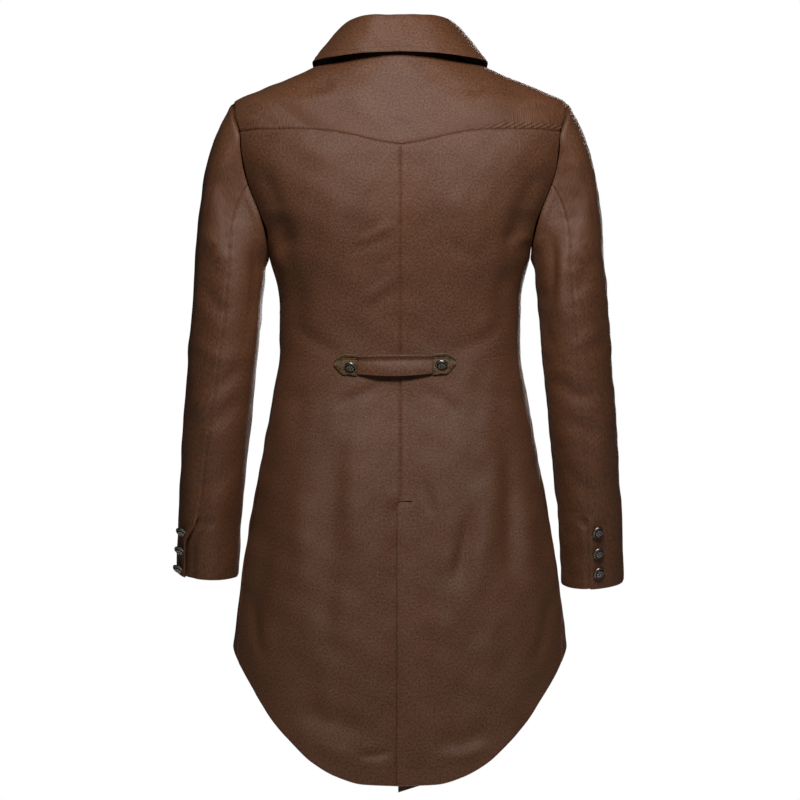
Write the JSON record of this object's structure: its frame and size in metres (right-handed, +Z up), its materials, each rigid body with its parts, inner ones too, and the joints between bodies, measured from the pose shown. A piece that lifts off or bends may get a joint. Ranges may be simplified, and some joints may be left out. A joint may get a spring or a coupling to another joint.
{
  "type": "frock coat",
  "caption": "Worn-form tail frock coat: turned-down collar, pointed back yoke, half belt, lapped back vent, round tail and buttoned cuffs.",
  "frame": {"origin": "base of the neck, level with the inner ends of the shoulder seams, where the wearer's shoulders hold the coat", "axes": "+Z up, the coat faces -Y so its back is at +Y, the wearer's left is at +X"},
  "size_m": [0.5997, 0.2848, 1.0259],
  "materials": {
    "sateen": "brown cotton sateen with a soft sheen",
    "sateen_under": "the same sateen where it lies in shade",
    "brocade": "dark brown figured brocade",
    "button_metal": "antique silver, cast and darkened"
  },
  "bodies": {
    "root": {"back_yoke": "sateen", "back_left": "sateen", "back_right": "sateen", "front_left": "sateen", "front_right": "sateen", "lapel_left": "sateen", "lapel_right": "sateen", "collar_fall": "sateen", "belt_strap": "sateen", "upper_sleeve_left": "sateen", "under_sleeve_left": "sateen", "upper_sleeve_right": "sateen", "under_sleeve_right": "sateen", "vent_underlay": "sateen_under", "collar_stand": "sateen_under", "belt_tab_left": "brocade", "belt_tab_right": "brocade", "button_belt_left": "button_metal", "button_belt_right": "button_metal", "button_cuff_left_1": "button_metal", "button_cuff_left_2": "button_metal", "button_cuff_left_3": "button_metal", "button_cuff_right_1": "button_metal", "button_cuff_right_2": "button_metal", "button_cuff_right_3": "button_metal", "button_front_1": "button_metal", "button_front_2": "button_metal", "button_front_3": "button_metal", "button_front_4": "button_metal"}
  },
  "joints": []
}
